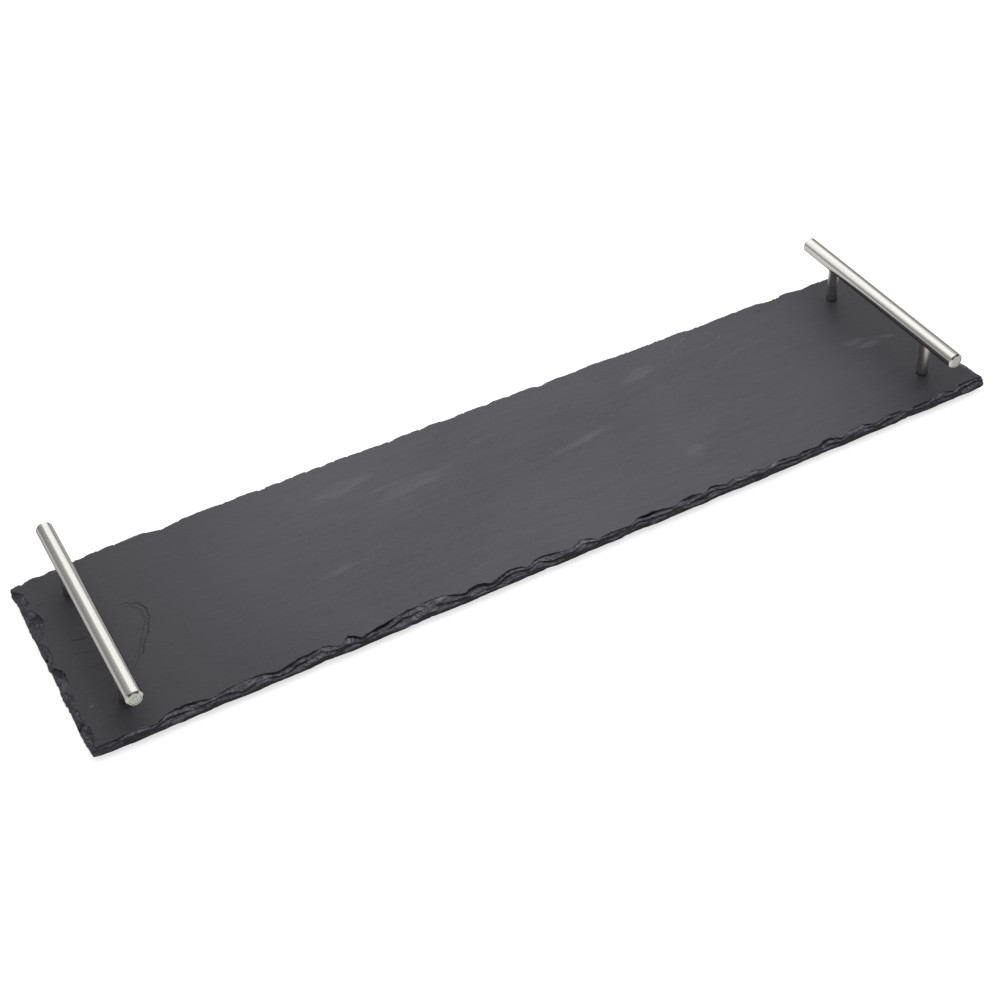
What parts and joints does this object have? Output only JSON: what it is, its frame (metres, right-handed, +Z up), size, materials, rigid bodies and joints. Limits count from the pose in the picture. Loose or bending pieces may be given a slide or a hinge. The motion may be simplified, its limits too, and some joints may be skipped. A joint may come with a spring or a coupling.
{
  "type": "slate serving board",
  "caption": "Long slate serving board with hand-broken layered edges and a steel bar handle across each end.",
  "frame": {"origin": "under the middle of the board, at the level of the table that the feet stand on", "axes": "+X along the board towards the right handle, -Y towards the front edge, +Z up"},
  "size_m": [0.6, 0.154, 0.0425],
  "materials": {
    "slate": "natural cleft, dry, knapped edges",
    "bar_steel": "brushed around the bar",
    "cap_steel": "turned face",
    "post_steel": "turned, fine brushed",
    "soft_ring": "matt black",
    "zinc_screw": "zinc plated",
    "zinc_washer": "zinc plated",
    "foot_rubber": "matt black"
  },
  "bodies": {
    "root": {"slate_slab": "slate", "left_bar": "bar_steel", "right_bar": "bar_steel", "left_front_end_cap": "cap_steel", "left_back_end_cap": "cap_steel", "right_front_end_cap": "cap_steel", "right_back_end_cap": "cap_steel", "left_front_post": "post_steel", "left_back_post": "post_steel", "right_front_post": "post_steel", "right_back_post": "post_steel", "left_front_post_ring": "soft_ring", "left_back_post_ring": "soft_ring", "right_front_post_ring": "soft_ring", "right_back_post_ring": "soft_ring", "left_front_screw": "zinc_screw", "left_back_screw": "zinc_screw", "right_front_screw": "zinc_screw", "right_back_screw": "zinc_screw", "left_front_washer": "zinc_washer", "left_back_washer": "zinc_washer", "right_front_washer": "zinc_washer", "right_back_washer": "zinc_washer", "left_front_foot": "foot_rubber", "left_back_foot": "foot_rubber", "right_front_foot": "foot_rubber", "right_back_foot": "foot_rubber"}
  },
  "joints": []
}
